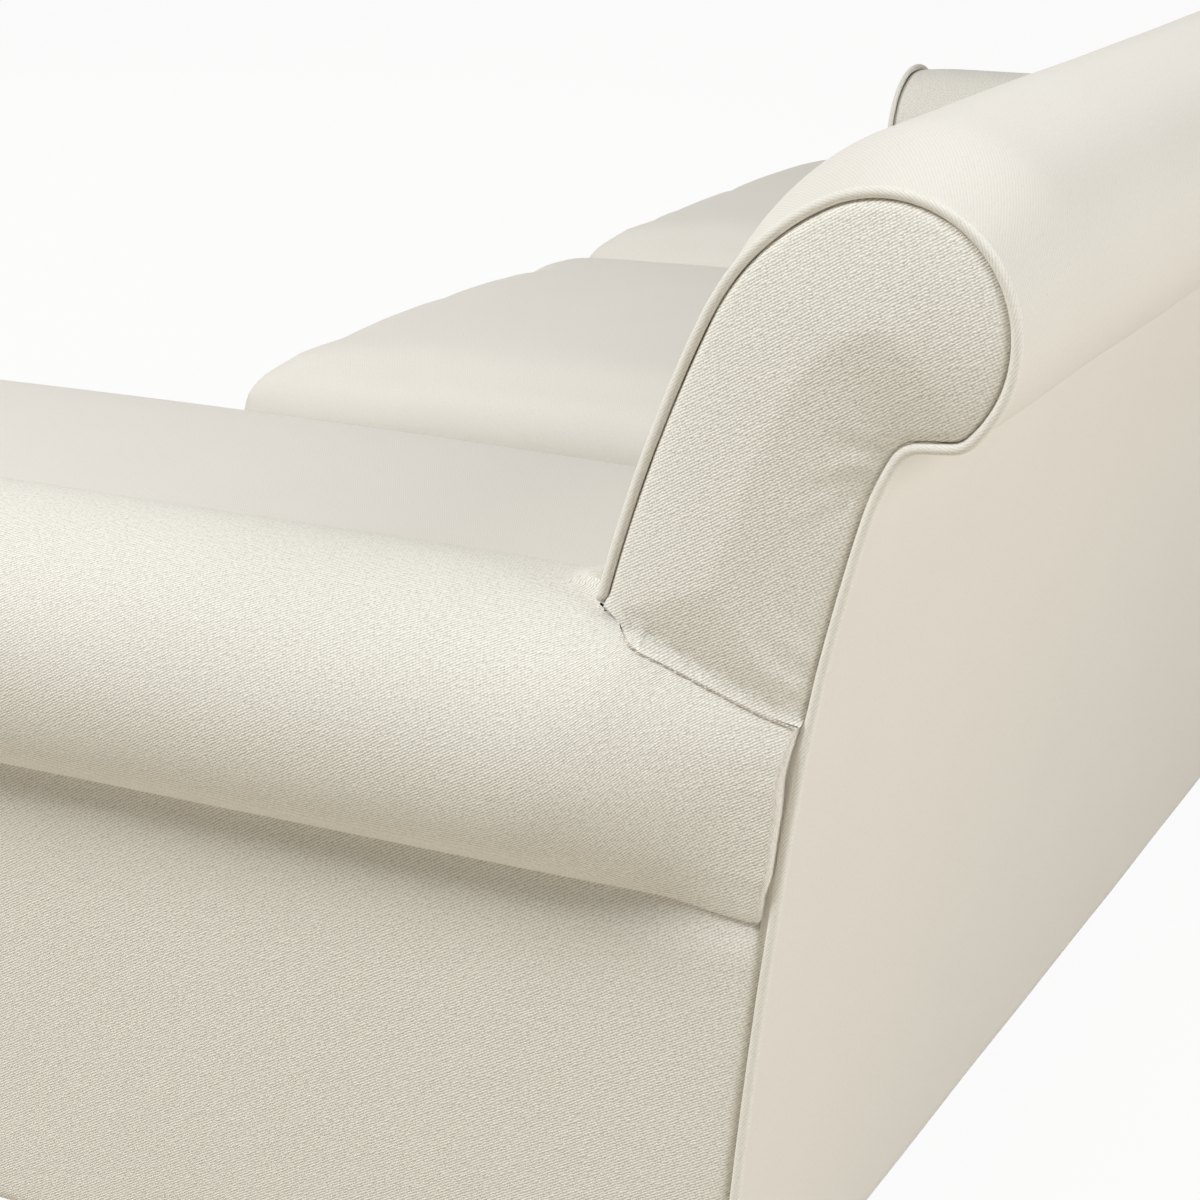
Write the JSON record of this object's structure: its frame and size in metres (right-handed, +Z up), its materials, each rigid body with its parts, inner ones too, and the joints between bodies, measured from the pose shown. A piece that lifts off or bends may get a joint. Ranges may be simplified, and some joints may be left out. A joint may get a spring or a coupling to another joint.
{
  "type": "l-shaped sectional sofa",
  "caption": "L-shaped sectional sofa in cream linen with a scroll back, rolled arms, welted ends and loose seat cushions, and a chaise base that hooks on to its front.",
  "frame": {"origin": "on the floor, under the centre of the whole sectional's bounding box", "axes": "+X along the back towards the chaise, +Y from the seat front to the outside back, +Z up; the sofa faces -Y"},
  "size_m": [2.4366, 1.6234, 0.904],
  "materials": {
    "cover_fabric": "cream linen twill",
    "welt_fabric": "cream linen twill on a cord",
    "frame_wood": "sawn hardwood",
    "foot_wood": "dark stained, satin",
    "steel": "drawn wire and plate",
    "connector_steel": "black powder coat",
    "webbing": "elastic webbing",
    "dust_cloth": "black non-woven cloth",
    "deck_cloth": "plain decking cloth on felt",
    "foam": "polyurethane foam",
    "glide": "nylon glide"
  },
  "bodies": {
    "sofa": {"back_posts": "frame_wood", "back_top_rail": "frame_wood", "back_webbing": "webbing", "connector_sockets": "connector_steel", "inside_back": "cover_fabric", "left_arm_frame": "frame_wood", "left_arm_front_panel": "cover_fabric", "left_arm_padding": "cover_fabric", "left_back_end_panel": "cover_fabric", "left_outside_arm": "cover_fabric", "left_welts": "welt_fabric", "outside_back": "cover_fabric", "right_arm_frame": "frame_wood", "right_arm_front_panel": "cover_fabric", "right_arm_padding": "cover_fabric", "right_back_end_panel": "cover_fabric", "right_outside_arm": "cover_fabric", "right_welts": "welt_fabric", "sofa_border": "cover_fabric", "sofa_corner_blocks": "frame_wood", "sofa_cross_rails": "frame_wood", "sofa_deck": "deck_cloth", "sofa_dust_cover": "dust_cloth", "sofa_feet": "foot_wood", "sofa_foot_bolts": "steel", "sofa_foot_glides": "glide", "sofa_front_rail": "frame_wood", "sofa_rear_rail": "frame_wood", "sofa_side_rails": "frame_wood", "sofa_spring_clips": "steel", "sofa_springs": "steel"},
    "chaise_base": {"chaise_base_border": "cover_fabric", "chaise_base_corner_blocks": "frame_wood", "chaise_base_cross_rails": "frame_wood", "chaise_base_deck": "deck_cloth", "chaise_base_dust_cover": "dust_cloth", "chaise_base_feet": "foot_wood", "chaise_base_foot_bolts": "steel", "chaise_base_foot_glides": "glide", "chaise_base_front_rail": "frame_wood", "chaise_base_rear_rail": "frame_wood", "chaise_base_side_rails": "frame_wood", "chaise_base_spring_clips": "steel", "chaise_base_springs": "steel", "connector_hooks": "connector_steel"},
    "chaise_cushion": {"chaise_cushion_cover": "cover_fabric", "chaise_cushion_foam": "foam"},
    "middle_cushion": {"middle_cushion_cover": "cover_fabric", "middle_cushion_foam": "foam"},
    "end_cushion": {"end_cushion_cover": "cover_fabric", "end_cushion_foam": "foam"}
  },
  "joints": [
    {"name": "chaise_base_unhook", "type": "slide", "parent": "sofa", "child": "chaise_base", "axis": [0, 0, 1], "range_m": [0, 0.06]},
    {"name": "chaise_cushion_lift", "type": "slide", "parent": "chaise_base", "child": "chaise_cushion", "axis": [0, 0, 1], "range_m": [0, 0.36]},
    {"name": "middle_cushion_lift", "type": "slide", "parent": "sofa", "child": "middle_cushion", "axis": [0, 0, 1], "range_m": [0, 0.36]},
    {"name": "end_cushion_lift", "type": "slide", "parent": "sofa", "child": "end_cushion", "axis": [0, 0, 1], "range_m": [0, 0.36]}
  ]
}
